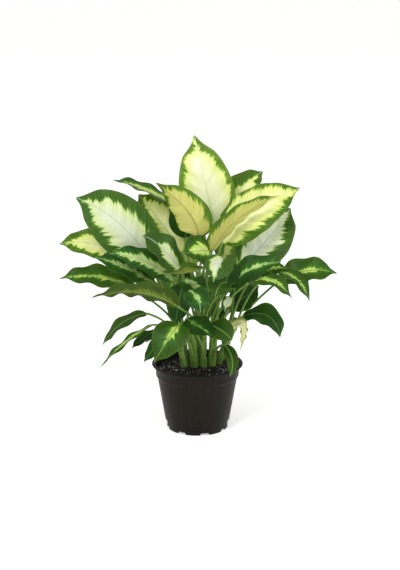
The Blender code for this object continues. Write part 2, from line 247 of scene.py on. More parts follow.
def add_lamp(name, place, width, power):
    """A square soft box that looks at the middle of the plant."""
    lamp = bpy.data.lights.new(name, "AREA")
    lamp.size = width
    lamp.energy = power
    holder = bpy.data.objects.new(name, lamp)
    holder.location = place
    holder.rotation_euler = (CAMERA_TARGET - Vector(place)).to_track_quat("-Z", "Y").to_euler()
    bpy.context.scene.collection.objects.link(holder)


world = bpy.data.worlds.new("sky")
world.use_nodes = True
background = world.node_tree.nodes["Background"]
background.inputs["Color"].default_value = WHITE
background.inputs["Strength"].default_value = SKY_STRENGTH
bpy.context.scene.world = world
for lamp_row in LAMPS:
    add_lamp(*lamp_row)
print("lamps:", len(LAMPS))

# %% [markdown]
# ## The canes and leaves, as a grower would list them
# A cane has a foot in the compost and a top. A leaf grows from its cane at the height attach, and turn
# is how many degrees round the cane its petiole starts from the straight way out. The midrib is a curve
# through base, middle and tip, just as the frame has it, face is the way the upper side looks, width is
# the widest part, and fold is how many degrees each half is lifted.
#
# skin is the kind of colouring. left and right are the shares of each half that are pale, looking along
# the leaf at its upper side, reach is how far towards the tip the pale part goes, and wave is the height
# of the ruffles at the margin. Lengths are in millimetres.

# %% Canes
CANE_RADIUS = 5.8
SOIL_CROWN = 106  # height of the compost at its middle
Cane = namedtuple("Cane", "name foot top")
CANES = (
    Cane("left", (-21, 2), (-36, 0, 205)),
    Cane("front_left", (-5, -4), (-10, -10, 190)),
    Cane("front_right", (10, 0), (7, 2, 240)),
    Cane("right", (24, 3), (30, 3, 205)),
    Cane("leaning", (37, 18), (64, 20, 185)),
    Cane("crown", (1, 22), (3, 32, 262)),
    Cane("rear", (-20, 24), (-36, 34, 218)),
)
print("canes:", len(CANES))

# %% Leaves
Leaf = namedtuple("Leaf", "name cane attach turn base middle tip face width fold skin left right reach wave")
LEAVES = (
    Leaf("crown", "crown", 251, 0, (31, 45, 330), (13, 46, 406), (-5, 75, 483),
         (0, -1, 0.25), 92, 8, "cream", 0.78, 0.78, 0.93, 2),
    Leaf("top_right", "crown", 248, 50, (48, 73, 365), (78, 85, 395), (111, 107, 416),
         (-0.1, -0.75, 0.65), 53, 12, "yellow", 0.15, 0.75, 0.8, 2),
    Leaf("big_right", "right", 195, 0, (41, 14, 314), (99, 8, 372), (169, 30, 403),
         (-0.1, -0.85, 0.5), 78, 8, "yellow", 0.82, 0.62, 0.97, 2),
    Leaf("tan_right", "front_right", 205, 40, (24, -10, 306), (64, -26, 363), (132, -16, 400),
         (-0.5, 0.6, 0.6), 62, 12, "tan", 1.1, 0.7, 0.97, 1.5),
    Leaf("yellow_middle", "front_right", 187, -80, (0, -14, 330), (-14, -5, 370), (-69, 39, 410),
         (0.1, 0.95, 0.1), 62, 10, "tan", 0.7, 1.05, 0.92, 1.5),
    Leaf("behind_middle", "crown", 200, 0, (-19, 24, 320), (-17, 24, 357), (-14, 30, 393),
         (0, -0.95, 0.3), 60, 8, "deep", 0, 0, 0.5, 1),
    Leaf("edge_left", "rear", 204, -80, (-27, 39, 364), (-86, 33, 399), (-138, 21, 418),
         (0.3, -0.15, 0.93), 50, 10, "lime", 0.35, 0.35, 0.85, 2),
    Leaf("cream_left", "rear", 198, 0, (-26, 44, 291), (-67, 52, 349), (-98, 60, 386),
         (0, -0.9, 0.4), 70, 8, "yellow", 0.3, 0.65, 0.85, 2),
    Leaf("big_left", "left", 190, 0, (-76, -14, 290), (-131, -26, 360), (-196, -22, 397),
         (-0.1, -0.95, 0.35), 94, 8, "white", 0.64, 0.57, 0.9, 2),
    Leaf("left_yellow", "rear", 168, 0, (-117, 8, 295), (-172, -5, 317), (-226, -8, 317),
         (0, -0.7, 0.7), 56, 8, "yellow", 0.6, 0.6, 0.85, 2),
    Leaf("left_front", "left", 175, 0, (-38, -36, 264), (-87, -56, 301), (-141, -63, 315),
         (0, -0.6, 0.8), 50, 8, "frosted", 0.38, 0.38, 0.88, 2.5),
    Leaf("left_second", "left", 158, 0, (-70, -38, 259), (-121, -52, 292), (-164, -55, 306),
         (0, -0.6, 0.8), 44, 8, "frosted", 0.22, 0.22, 0.8, 3),
    Leaf("left_curled", "rear", 146, 0, (-99, -20, 243), (-162, -25, 267), (-226, -20, 262),
         (0, -0.55, 0.83), 48, 10, "lime", 0.16, 0.16, 0.85, 3),
    Leaf("left_arching", "front_left", 174, 50, (-30, -78, 231), (-94, -106, 263), (-166, -116, 256),
         (-0.05, 0.6, 0.75), 58, 10, "olive", 0.35, 0.35, 0.8, 3),
    Leaf("low_left_1", "left", 140, -40, (-82, -45, 210), (-123, -56, 196), (-154, -62, 161),
         (-0.2, -0.3, 0.93), 32, 6, "lime", 0, 0, 0.5, 2),
    Leaf("low_left_2", "front_left", 134, 0, (-73, -66, 197), (-118, -82, 170), (-157, -90, 132),
         (-0.5, -0.2, 0.8), 24, 6, "lime", 0.3, 0.3, 0.8, 2),
    Leaf("low_left_3", "left", 128, 0, (-71, -42, 179), (-88, -52, 170), (-107, -60, 155),
         (-0.4, -0.5, 0.75), 24, 10, "deep", 0, 0, 0.5, 1),
    Leaf("low_left_4", "rear", 128, 0, (-64, 4, 162), (-77, 0, 158), (-85, -6, 148),
         (-0.4, -0.5, 0.75), 22, 10, "deep", 0, 0, 0.5, 1),
    Leaf("front_left", "front_left", 128, 40, (-28, -85, 204), (-45, -107, 187), (-69, -117, 149),
         (-0.2, -0.75, 0.6), 60, 5, "lime", 0.14, 0.14, 0.66, 1.5),
    Leaf("front_rim", "front_left", 126, 20, (-47, -72, 183), (-66, -90, 168), (-86, -100, 144),
         (-0.4, -0.6, 0.7), 30, 5, "deep", 0, 0, 0.5, 1),
    Leaf("front_dark", "front_right", 128, 20, (-17, -65, 207), (3, -85, 199), (25, -101, 189),
         (0.1, -0.55, 0.83), 46, 8, "deep", 0.05, 0.05, 0.8, 1.5),
    Leaf("front_low", "right", 135, 0, (19, -72, 199), (39, -93, 195), (56, -103, 182),
         (0.1, -0.8, 0.6), 42, 5, "lime", 0, 0, 0.5, 1.5),
    Leaf("over_rim", "right", 120, 0, (45, -36, 153), (57, -58, 135), (53, -66, 109),
         (0.2, -0.9, 0.3), 22, 5, "lime", 0, 0, 0.5, 1),
    Leaf("withered", "leaning", 138, 0, (49, -36, 179), (74, -52, 192), (69, -60, 149),
         (0, -0.7, 0.7), 20, 5, "withered", 0.75, 0.75, 0.98, 3),
    Leaf("low_right", "leaning", 146, 0, (75, -20, 198), (115, -40, 204), (135, -52, 171),
         (0.1, -0.55, 0.83), 44, 8, "deep", 0, 0, 0.7, 3.5),
    Leaf("right_white", "leaning", 172, 20, (71, 26, 265), (120, 30, 321), (154, 42, 367),
         (-0.2, -0.93, 0.35), 88, 14, "silver", 0.5, 0.46, 0.9, 2),
    Leaf("right_middle", "right", 170, -80, (53, -33, 254), (89, -43, 285), (136, -45, 297),
         (-0.1, -0.6, 0.8), 50, 8, "frosted", 0.1, 0.1, 0.9, 3),
    Leaf("right_second", "leaning", 158, -50, (87, -5, 255), (116, -13, 275), (147, -15, 278),
         (-0.1, -0.6, 0.8), 36, 8, "lime", 0.3, 0.3, 0.85, 2.5),
    Leaf("far_right", "leaning", 148, 50, (135, 11, 250), (182, 1, 270), (230, -3, 266),
         (0, -0.65, 0.76), 52, 10, "lime", 0.2, 0.2, 0.8, 4),
    Leaf("right_front", "right", 155, -80, (82, -50, 264), (120, -68, 272), (152, -72, 243),
         (0.1, -0.45, 0.9), 36, 8, "lime", 0.28, 0.28, 0.85, 2.5),
    Leaf("right_side", "leaning", 156, 0, (128, -14, 273), (163, -26, 261), (183, -34, 227),
         (0.3, -0.4, 0.85), 36, 15, "lime", 0.15, 0.15, 0.8, 2),
    Leaf("right_dark", "leaning", 140, 0, (54, 28, 202), (79, 30, 217), (103, 36, 235),
         (0, -0.8, 0.6), 46, 8, "deep", 0, 0, 0.5, 1.5),
    Leaf("light_corner", "right", 144, 0, (55, -36, 235), (48, -42, 225), (45, -44, 212),
         (0, -0.8, 0.6), 20, 5, "white", 0.6, 0.6, 0.8, 1),
    Leaf("centre_drooping", "front_right", 215, 0, (41, -79, 311), (33, -102, 302), (25, -110, 280),
         (0.1, -0.7, 0.7), 46, 5, "white", 0.05, 0.7, 0.85, 3),
    Leaf("centre_narrow", "right", 196, 0, (56, -28, 290), (51, -42, 276), (40, -48, 254),
         (0.3, -0.6, 0.6), 36, 8, "deep", 0, 0, 0.5, 1),
    Leaf("centre_right", "front_right", 178, 20, (46, -70, 269), (35, -92, 269), (28, -102, 252),
         (0.1, -0.6, 0.8), 42, 5, "lime", 0.08, 0, 0.6, 3),
    Leaf("yellow_patch", "front_right", 232, -20, (19, -30, 311), (1, -46, 315), (-20, -58, 313),
         (0, -0.75, 0.65), 60, 8, "lime", 0.36, 0.42, 0.75, 4.5),
    Leaf("left_band", "front_left", 164, -50, (-25, -39, 278), (-58, -53, 323), (-88, -55, 342),
         (0, -0.6, 0.8), 54, 8, "white", 0.38, 0.34, 0.6, 4),
    Leaf("wavy", "front_right", 180, 0, (14, -72, 296), (-22, -100, 293), (-56, -106, 295),
         (0, 0.55, 0.83), 46, 15, "olive", 0.45, 0.45, 0.9, 5),
    Leaf("mint", "front_left", 183, 70, (-18, -36, 266), (-4, -60, 259), (14, -70, 243),
         (0, -0.6, 0.8), 44, 8, "frosted", 0.26, 0.26, 0.7, 3),
    Leaf("front_drooping", "front_right", 153, 50, (-12, -105, 265), (1, -131, 259), (5, -143, 239),
         (0, -0.6, 0.8), 42, 8, "frosted", 0.16, 0.16, 0.7, 3),
    # inner_left and inner_right are dark filler leaves in the hollow of the clump, and their deep colouring
    # is painted shade
    Leaf("inner_left", "left", 166, 20, (-24, -34, 255), (-30, -46, 229), (-36, -54, 193),
         (0, -0.9, 0.4), 44, 8, "deep", 0, 0, 0.5, 1.5),
    Leaf("inner_right", "right", 194, 70, (31, 29, 261), (38, 45, 239), (44, 51, 204),
         (0, -0.9, 0.4), 36, 8, "deep", 0, 0, 0.5, 1.5),
    Leaf("rear_1", "rear", 192, 20, (-50, 62, 269), (-96, 98, 309), (-137, 134, 343),
         (0, 0.7, 0.7), 72, 8, "white", 0.7, 0.7, 0.9, 2),
    Leaf("rear_2", "crown", 224, 0, (-11, 52, 265), (-23, 76, 304), (-43, 110, 349),
         (0, 0.8, 0.6), 82, 8, "cream", 0.3, 0.3, 0.85, 2),
    Leaf("rear_3", "crown", 200, -30, (30, 76, 254), (52, 106, 279), (101, 134, 340),
         (0, 0.85, 0.55), 84, 8, "yellow", 0.14, 0.14, 0.85, 2),
    Leaf("rear_4", "crown", 214, -90, (11, 60, 238), (11, 100, 228), (15, 141, 181),
         (0, 0.75, 0.65), 80, 8, "deep", 0.1, 0.1, 0.85, 2),
    Leaf("rear_5", "rear", 180, 0, (-34, 66, 253), (-40, 108, 233), (-45, 138, 173),
         (-0.1, 0.75, 0.65), 68, 8, "lime", 0.2, 0.2, 0.8, 2),
    Leaf("rear_6", "leaning", 165, -20, (60, 66, 237), (73, 108, 217), (78, 141, 168),
         (0.1, 0.75, 0.65), 66, 8, "lime", 0.15, 0.15, 0.8, 2),
    Leaf("rear_7", "crown", 168, 0, (10, 56, 218), (14, 98, 204), (18, 128, 142),
         (0, 0.75, 0.65), 66, 8, "deep", 0.1, 0.1, 0.8, 2),
    Leaf("rear_8", "leaning", 145, -20, (32, 52, 163), (49, 84, 177), (62, 114, 185),
         (0.1, 0.6, 0.8), 44, 8, "deep", 0.06, 0.06, 0.8, 2),
)
print(len(CANES), "canes and", len(LEAVES), "leaves")

# %% [markdown]
# ## Curves in space
# A midrib or a petiole is a Bezier curve: a few points that pull a smooth line. A section that travels
# along it needs a direction and a side, and the side is carried along so that it never flips.

# %% Curve helpers
def bezier(points, t):
    """A point on a curve of any number of control points."""
    while len(points) > 1:
        points = [a.lerp(b, t) for a, b in zip(points, points[1:])]
    return points[0]


def direction(points, t):
    """The curve's unit tangent."""
    step = 0.01
    return (bezier(points, min(1, t + step)) - bezier(points, max(0, t - step))).normalized()


def square_to(vector, axis):
    """The part of a vector that is square to an axis, at unit length."""
    return (vector - axis * vector.dot(axis)).normalized()


def smooth(low, high, value):
    """An S curve from 0 at low to 1 at high."""
    share = min(1, max(0, (value - low) / (high - low)))
    return share * share * (3 - 2 * share)


print("an S curve a quarter of the way along is at", round(smooth(0, 1, 0.25), 3))


# %% Lines of the plant
def cane_centre(cane, height):
    """The cane's axis: upright in the compost, leaning above it."""
    foot = Vector((*cane.foot, SOIL_CROWN))
    top = Vector(cane.top)
    share = max(0, (height - SOIL_CROWN) / (top.z - SOIL_CROWN))
    centre = foot.lerp(top, share)
    return Vector((centre.x, centre.y, height))


def blade_curve(leaf):
    """Control points of the midrib."""
    base = Vector(leaf.base)
    tip = Vector(leaf.tip)
    return [base, 2 * Vector(leaf.middle) - (base + tip) / 2, tip]


def blade_length(leaf):
    """Straight from base to tip."""
    return (Vector(leaf.tip) - Vector(leaf.base)).length


longest = max(LEAVES, key=blade_length)
print("longest blade:", longest.name, round(blade_length(longest)), "mm")

# %% [markdown]
# ## The shape of a blade
# A dieffenbachia blade is rounded at its base, widest below the middle and drawn out into a point. A
# formula gives the half-width at each place along the midrib. The section is a shallow V with a soft
# fold, thin at the margins, with the midrib standing proud underneath. The margins ruffle a little
# because they grow faster than the middle, and the blade is quilted between its side veins.

# %% Outline of a blade
BASE_POWER = 0.55  # roundness of the base
TIP_POWER = 0.8  # fullness of the half nearer the tip
DRIP_TIP = 0.5  # how much narrower the drawn-out point is than the curve above would be
DRIP_START, DRIP_END = 0.8, 0.97
UNTORN = 1.25  # a dying leaf near its base, as a share of its half-width
TEAR_START, TEAR_END = 0.3, 0.6
DEEP_RAGS, FINE_RAGS = 0.75, 0.35  # shares of the half-width that the rags take away


def blade_outline(t):
    """Half-width share along the blade."""
    widest = BASE_POWER / (BASE_POWER + TIP_POWER)
    full = widest ** BASE_POWER * (1 - widest) ** TIP_POWER
    drawn = 1 - DRIP_TIP * smooth(DRIP_START, DRIP_END, t)
    return drawn * t ** BASE_POWER * (1 - t) ** TIP_POWER / full


def torn(leaf, t, share):
    """What is left of the half-width of a dying leaf, whose margin has shrivelled into rags."""
    if leaf.skin != "withered":
        return 1
    side = 1 if share > 0 else -1
    deep = DEEP_RAGS * abs(noise.noise(Vector((t * 9, side * 4, 2))))
    fine = FINE_RAGS * abs(sin(t * 21 + side))
    ragged = 1 - deep - fine
    return UNTORN + (ragged - UNTORN) * smooth(TEAR_START, TEAR_END, t)


print("half-width half-way along:", round(blade_outline(0.5), 2))

# %% Side veins and the pale part
VEIN_SPACING = 6.5  # distance between side veins
VEIN_SWEEP = 0.62  # how far a side vein runs forward for each millimetre outward
VEIN_CURL = 0.5  # how much more it sweeps forward towards the margin
ALL_GREEN = 1 / 3  # where the midrib of an all-green leaf lies outside the pale part, in widths


def vein_place(leaf, t, across):
    """Where the side vein through this point leaves the midrib, in millimetres along it."""
    outward = abs(across)
    alternate = VEIN_SPACING / 2 if across < 0 else 0
    return t * blade_length(leaf) + alternate - outward * (VEIN_SWEEP + VEIN_CURL * outward / leaf.width)


def pale_margin(leaf, t, across):
    """Distance from the edge of the pale part, positive inside it, in millimetres."""
    share = leaf.left if across < 0 else leaf.right
    if share == 0 or t >= leaf.reach:
        beyond = (t - leaf.reach) * leaf.width if share else leaf.width * ALL_GREEN
        return -abs(across) - max(0, beyond)
    return share * leaf.width / 2 * blade_outline(t / leaf.reach) - abs(across)


print("side veins on the longest blade:", round(blade_length(longest) / VEIN_SPACING), "on each side")

# %% Section of a blade
BLADE_THICKNESS = 0.7
RIB_HEIGHT, RIB_TIP = 1.6, 0.3  # how far the midrib stands proud: the taper, and what is left
RIB_SPREAD = 0.4  # how much wider the midrib is than it is high
RIB_START = 0.02  # where the midrib reaches its height
QUILT = 0.04  # depth of the quilting between side veins
QUILT_FROM_RIB = 5  # distance from the midrib at which the quilting is full
QUILT_HALF_WIDTHS = (2, 10)  # half-widths between which the quilting comes in
FOLD_SOFTNESS = 2.5
RUFFLE_LENGTH = 38  # from one ruffle of the margin to the next
RUFFLE_LEAD = 1.3  # by how many radians the right margin's ruffles are ahead
RUFFLE_HALF_WIDTH = 8  # half-width at which the ruffles are full


def sleeve_point(u, v):
    """Share across, whether on the upper side, and place along the blade of a point of the sleeve."""
    t = 0.5 * v + 0.5 * (1 - cos(pi * v)) / 2
    around = 2 * (u % 1)  # the last column lies on the first, so that the sleeve closes
    upper = around <= 1
    share = 2 * around - 1 if upper else 3 - 2 * around
    return share, upper, t


def blade_height(leaf, t, across, share, half, seed):
    """How far the middle of the blade's thickness lies above its midrib: fold, ruffles and quilting."""
    lift = (sqrt(across * across + FOLD_SOFTNESS ** 2) - FOLD_SOFTNESS) * sin(radians(leaf.fold))
    ruffles = max(2, blade_length(leaf) / RUFFLE_LENGTH)
    lead = RUFFLE_LEAD if share > 0 else 0
    ruffle = leaf.wave * share * share * sin(2 * pi * ruffles * t + seed + lead)
    ruffle *= min(1, half / RUFFLE_HALF_WIDTH)
    quilt = QUILT * cos(2 * pi * vein_place(leaf, t, across) / VEIN_SPACING) * (1 - share ** 4)
    quilt *= smooth(0, QUILT_FROM_RIB, abs(across)) * smooth(*QUILT_HALF_WIDTHS, half)
    return lift + ruffle + quilt


def skin_height(t, across, share, upper):
    """From the middle of the thickness out to the surface, which carries the midrib underneath."""
    thickness = BLADE_THICKNESS / 2 * sqrt(max(0, 1 - share * share))
    if upper:
        return thickness
    rib = RIB_HEIGHT * (1 - t) + RIB_TIP
    return -thickness - rib * exp(-(across / (rib + RIB_SPREAD)) ** 2) * smooth(0, RIB_START, t)


def blade_point(leaf, seed, u, v):
    """Where a point of the sleeve goes."""
    share, upper, t = sleeve_point(u, v)
    half = leaf.width / 2 * blade_outline(t) * torn(leaf, t, share)
    across = share * half
    curve = blade_curve(leaf)
    along = direction(curve, t)
    normal = square_to(Vector(leaf.face), along)
    side = along.cross(normal)
    height = blade_height(leaf, t, across, share, half, seed) + skin_height(t, across, share, upper)
    return bezier(curve, t) + side * across * cos(radians(leaf.fold)) + normal * height


print("a blade is", BLADE_THICKNESS, "mm thick")

# %% Draw a blade
BLADE_COLUMNS, BLADE_ROWS = 48, 64  # round the sleeve, and from base to tip
SIDE_CHANGE = 1.7  # how far the noise moves on from one half of a blade to the other
FULL_WIDTH = 76  # a blade this wide or wider has the longest feathers
RIB_TIP_HALF, RIB_BASE_HALF = 0.5, 1.3  # the midrib's painted half-width, and what the base adds
UPPER, UNDER, STALK = 0, 1, 2  # places of the three skins in a leaf's list of materials


def paint_point(leaf, t, across):
    """How far inside the pale part, as on a full-sized leaf, and how many ribs from the midrib."""
    size = min(1, leaf.width / FULL_WIDTH)
    rib = abs(across) / (RIB_TIP_HALF + RIB_BASE_HALF * (1 - t))
    return pale_margin(leaf, t, across) / size * MM, rib, 0


def draw_blade(bm, leaf, seed):
    """Bend a closed sleeve of grid into the blade, and tell each point where it lies on the leaf."""
    spots = bend_grid(bm, BLADE_COLUMNS, BLADE_ROWS, lambda u, v: blade_point(leaf, seed, u, v), UPPER)
    veins = bm.verts.layers.float_vector["veins"]
    paint = bm.verts.layers.float_vector["paint"]
    for vertex, u, v in spots:
        share, upper, t = sleeve_point(u, v)
        across = share * leaf.width / 2 * blade_outline(t)
        half_seed = max(-1, min(1, across / 2)) * SIDE_CHANGE
        vertex[veins] = (vein_place(leaf, t, across) * MM, abs(across) * MM, seed + half_seed)
        vertex[paint] = paint_point(leaf, t, across)
        if not upper and u < 1:
            for face in vertex.link_faces:
                face.material_index = UNDER


print("faces in a blade:", BLADE_COLUMNS * BLADE_ROWS)

# %% [markdown]
# ## Petiole and sheath
# The petiole is round with a shallow channel on top. At its foot it widens into a sheath that wraps
# the cane, so it is drawn as one tube from below its node, round the cane, and out to the blade. Both
# ends close to a point inside what they join.

# %% Lines of a petiole
SHEATH_LENGTH = 26
SHEATH_RADIUS = CANE_RADIUS + 1.0
SHEATH_LEAN = (0.5, 1.25)  # between these shares of its length the sheath leaves the cane's middle
SHEATH_TAPER = (0.55, 1.15)  # and between these it narrows to the petiole
SHEATH_RINGS = 8
PETIOLE_START = 1  # distance of its first point from the cane's skin
PETIOLE_RADIUS = 1.9
PETIOLE_FLARE = 0.7  # how much thicker it is at its foot
PETIOLE_BEND = 0.35  # length of the handles that bend it, as a share of its reach
PETIOLE_RINGS = 22
PETIOLE_COLUMNS = 14
PETIOLE_OVERRUN = 3  # how far it runs on under the blade
CHANNEL_DEPTH = 0.3  # of the groove along its top, as a share of its radius
CHANNEL_RADIUS = 3  # a tube thicker than this is sheath and has no groove


def petiole_curve(leaf, cane):
    """Control points of the petiole, from the cane's skin to the blade."""
    base = Vector(leaf.base)
    centre = cane_centre(cane, leaf.attach)
    axis = (Vector(cane.top) - Vector((*cane.foot, SOIL_CROWN))).normalized()
    outward = Quaternion(axis, radians(leaf.turn)) @ square_to(base - centre, axis)
    start = centre + outward * (CANE_RADIUS + PETIOLE_START)
    reach = (base - start).length
    arrive = (direction(blade_curve(leaf), 0) + (base - start).normalized()).normalized()
    handle = PETIOLE_BEND * reach
    return [start, start + axis * handle, base - arrive * handle, base]


def petiole_stations(leaf, cane):
    """Centre and radius of each ring of the sheath and petiole, which close to a point at both ends."""
    curve = petiole_curve(leaf, cane)
    foot_radius = PETIOLE_RADIUS + PETIOLE_FLARE
    stations = []
    for step in range(SHEATH_RINGS):
        share = step / SHEATH_RINGS
        centre = cane_centre(cane, leaf.attach - SHEATH_LENGTH * (1 - share))
        lean = smooth(*SHEATH_LEAN, share)
        radius = SHEATH_RADIUS + (foot_radius - SHEATH_RADIUS) * smooth(*SHEATH_TAPER, share)
        stations.append((centre.lerp(curve[0], lean), radius))
    for step in range(PETIOLE_RINGS + 1):
        t = step / PETIOLE_RINGS
        stations.append((bezier(curve, t), PETIOLE_RADIUS + PETIOLE_FLARE * (1 - t) ** 3))
    start = stations[0][0]
    end = stations[-1][0] + direction(curve, 1) * PETIOLE_OVERRUN
    return [(start, 0)] + stations + [(end, 0)]


def station_frames(stations, face):
    """The sideways and upward directions at each ring, carried back from the blade to the cane."""
    last = len(stations) - 1
    frames = []
    up = Vector(face)
    for i in range(last, -1, -1):
        ahead = (stations[min(last, i + 1)][0] - stations[max(0, i - 1)][0]).normalized()
        up = square_to(up, ahead)
        frames.insert(0, (ahead.cross(up), up))
    return frames


print("rings in a petiole with its sheath:", SHEATH_RINGS + PETIOLE_RINGS + 3)

# %% Draw a petiole and make a leaf
SEED_STEP = 1.7  # how far the noise moves on from leaf to leaf


def draw_petiole(bm, leaf, seed):
    """Bend a grid into the tube of the petiole."""
    cane = next(cane for cane in CANES if cane.name == leaf.cane)
    stations = petiole_stations(leaf, cane)
    frames = station_frames(stations, leaf.face)
    last = len(stations) - 1

    def place(u, v):
        i = round(v * last)
        centre, radius = stations[i]
        side, up = frames[i]
        angle = 2 * pi * u
        channel = CHANNEL_DEPTH * max(0, sin(angle)) ** 6 * radius * (radius < CHANNEL_RADIUS)
        return centre + (side * cos(angle) + up * sin(angle)) * (radius - channel)

    veins = bm.verts.layers.float_vector["veins"]
    for vertex, u, v in bend_grid(bm, PETIOLE_COLUMNS, last, place, STALK):
        vertex[veins] = (v, u, seed)


def make_leaf(leaf, number, skins):
    """Sheath, petiole and blade as one piece."""
    bm = bmesh.new()
    bm.verts.layers.float_vector.new("veins")
    bm.verts.layers.float_vector.new("paint")
    seed = number * SEED_STEP
    draw_blade(bm, leaf, seed)
    draw_petiole(bm, leaf, seed)
    return finish_piece("leaf_" + leaf.name + "_grown", bm, skins, SLOTS[leaf.skin], "leaf_" + leaf.name)


# %% [markdown]
# ## Leaf skins
# A leaf is a waxed, slightly translucent skin. In a variegated plant the cells by the midrib make no
# green, so the blade is cream there and green at the margin, and the border runs out along the side
# veins in feathers. The shader takes the distance from that border, which each point carries, adds
# noise that is drawn out along the veins, and looks up the colour.

# %% Leaf colours
Skin = namedtuple("Skin", "edge green fringe cream centre rib")
SKINS = {
    "cream": Skin("#647f2a", "#4c721f", "#9dba3c", "#d9e392", "#e6eabf", "#cbd9a9"),
    # white and silver are one colouring in two brightnesses: white is darkened, painted shade against the
    # strong key lamp on big_left, and silver is the lighter copy, painted light, for right_white, which
    # stands in shade
    "white": Skin("#2f4e18", "#33591a", "#86ab44", "#c5d19a", "#c9d2b8", "#a9b99a"),
    "silver": Skin("#2c4a17", "#34591a", "#8db152", "#dde7c4", "#eaf0e2", "#b9c7b2"),
    "yellow": Skin("#3a5916", "#426a1b", "#9ab83a", "#dbe28c", "#e3e8aa", "#c5d18c"),
    "lime": Skin("#2a4712", "#335e17", "#649530", "#b5ca66", "#cfdc90", "#76984a"),
    "frosted": Skin("#1f4116", "#2b5a1b", "#659a3c", "#b4cc82", "#cbdaa6", "#8fa96c"),
    # deep: dark greens, partly the leaves' own colour and partly painted shade, for leaves in the hollows
    # and at the back of the clump
    "deep": Skin("#1d3a10", "#234713", "#4a7e2b", "#9cc264", "#bdd48e", "#4d7a30"),
    "tan": Skin("#42641c", "#4c7220", "#98a83c", "#bdbd66", "#bfbd6c", "#968f42"),
    # olive: a leaf's greens and cream darkened to olive, painted shade for leaf halves that hang in the
    # shadow of the clump
    "olive": Skin("#31480f", "#3a5216", "#495f1e", "#5d7028", "#75812e", "#7c8a44"),
    "withered": Skin("#7d6a30", "#7f9440", "#a6ab54", "#cdcd90", "#d9d9aa", "#b4ad74"),
}
SLOTS = {
    "cream": "leaf_cream", "white": "leaf_cream", "silver": "leaf_cream", "yellow": "leaf_cream",
    "lime": "leaf_green", "frosted": "leaf_green", "deep": "leaf_green",
    "tan": "leaf_underside", "olive": "leaf_underside", "withered": "leaf_withered",
}
UNDERSIDE_TINT = "#66772f"  # what the duller underside is drawn towards
UNDERSIDE_SHARE = 0.3  # and how far
COLOUR_STOPS = (-18, -3.2, 0.2, 1.7, 7, 19)  # millimetres inward of the border, one for each colour
print("leaf colourings:", ", ".join(SKINS))

# %% Leaf finish
FEATHER_WIDTH = 4.2  # across one feather of the border
FEATHER_LENGTH = 24  # along it
FEATHER_DEPTH = 34  # how far a feather moves the border
WANDER = 34  # how far the border strays on the scale of a few feathers
WANDER_SCALE = 0.2  # how coarse that is beside the feathers
NOISE_MIDDLE = 0.5
SHADES = (0.84, 1.14)  # how dark and how light the blade's patches are
VEIN_SHOW, RIB_SHOW = 0.1, 0.75  # how far side veins and midrib take on the colour of the rib
VEIN_GROOVE = 0.03  # depth of a side vein's groove
UPPER_ROUGHNESS, UNDER_ROUGHNESS = 0.45, 0.6
LEAF_SPECULAR = 0.12  # a thin wax gloss


def feathered_border(tree, veins, inside):
    """The colours' share from margin to midrib, and the noise that makes the border stray."""
    drawn_out = (1 / (FEATHER_WIDTH * MM), 1 / (FEATHER_LENGTH * MM), 1)
    stretched = add_node(tree, "VectorMath", {0: veins, 1: drawn_out}, operation="MULTIPLY")
    feathers = add_node(tree, "TexNoise", {"Vector": stretched, "Scale": 1, "Detail": 5, "Roughness": 0.72})
    mottle = add_node(
        tree, "TexNoise", {"Vector": stretched, "Scale": WANDER_SCALE, "Detail": 5, "Roughness": 0.6})
    border = inside
    for pattern, depth in ((feathers, FEATHER_DEPTH), (mottle, WANDER)):
        border = add_node(tree, "Math", {0: pattern, 1: depth * MM, 2: border}, operation="MULTIPLY_ADD")
    shift = (FEATHER_DEPTH + WANDER) * NOISE_MIDDLE
    low, high = (COLOUR_STOPS[0] + shift) * MM, (COLOUR_STOPS[-1] + shift) * MM
    return add_node(tree, "MapRange", {"Value": border, "From Min": low, "From Max": high}), mottle


def draw_ribs(tree, colour, rib_colour, crest, rib_distance):
    """Lay the side veins and the midrib over a colour."""
    vein_line = add_node(
        tree, "MapRange",
        {"Value": crest, "From Min": -0.86, "From Max": -1, "To Min": 0, "To Max": VEIN_SHOW})
    veined = add_node(tree, "Mix", {0: vein_line, 6: colour, 7: rib_colour}, data_type="RGBA")
    rib_line = add_node(
        tree, "MapRange",
        {"Value": rib_distance, "From Min": 1.25, "From Max": 0.6, "To Min": 0, "To Max": RIB_SHOW})
    return add_node(tree, "Mix", {0: rib_line, 6: veined.outputs[2], 7: rib_colour}, data_type="RGBA")


def leaf_skin(name, skin, roughness):
    """Living leaf, grown and waxed: colour laid by the border, the side veins and the midrib."""
    material, tree, shader = new_material(
        name, roughness, Specular_IOR_Level=LEAF_SPECULAR, Subsurface_Weight=0.12, Subsurface_Scale=0.004)
    shader.inputs["Subsurface Radius"].default_value = (0.8, 1.0, 0.25)
    veins = add_node(tree, "Attribute", attribute_name="veins").outputs["Vector"]
    paint = add_node(tree, "Attribute", attribute_name="paint").outputs["Vector"]
    vein_run = add_node(tree, "SeparateXYZ", {0: veins}).outputs[0]
    inside, rib_distance = add_node(tree, "SeparateXYZ", {0: paint}).outputs[:2]
    share, mottle = feathered_border(tree, veins, inside)
    ramp = add_node(tree, "ValToRGB", {"Fac": share})
    span = COLOUR_STOPS[-1] - COLOUR_STOPS[0]
    colours = (skin.edge, skin.green, skin.fringe, skin.cream, skin.cream, skin.centre)
    set_stops(ramp, [(stop - COLOUR_STOPS[0]) / span for stop in COLOUR_STOPS], colours)
    crest = waves(tree, vein_run, VEIN_SPACING)
    ribbed = draw_ribs(tree, ramp, linear(skin.rib), crest, rib_distance)
    shade = add_node(
        tree, "MapRange",
        {"Value": mottle, "From Min": 0.3, "From Max": 0.7, "To Min": SHADES[0], "To Max": SHADES[1]})
    toned = add_node(
        tree, "Mix", {0: 1.0, 6: ribbed.outputs[2], 7: shade}, data_type="RGBA", blend_type="MULTIPLY")
    tree.links.new(toned.outputs[2], shader.inputs["Base Color"])
    emboss(tree, shader, crest, VEIN_GROOVE, 0.8)
    return material


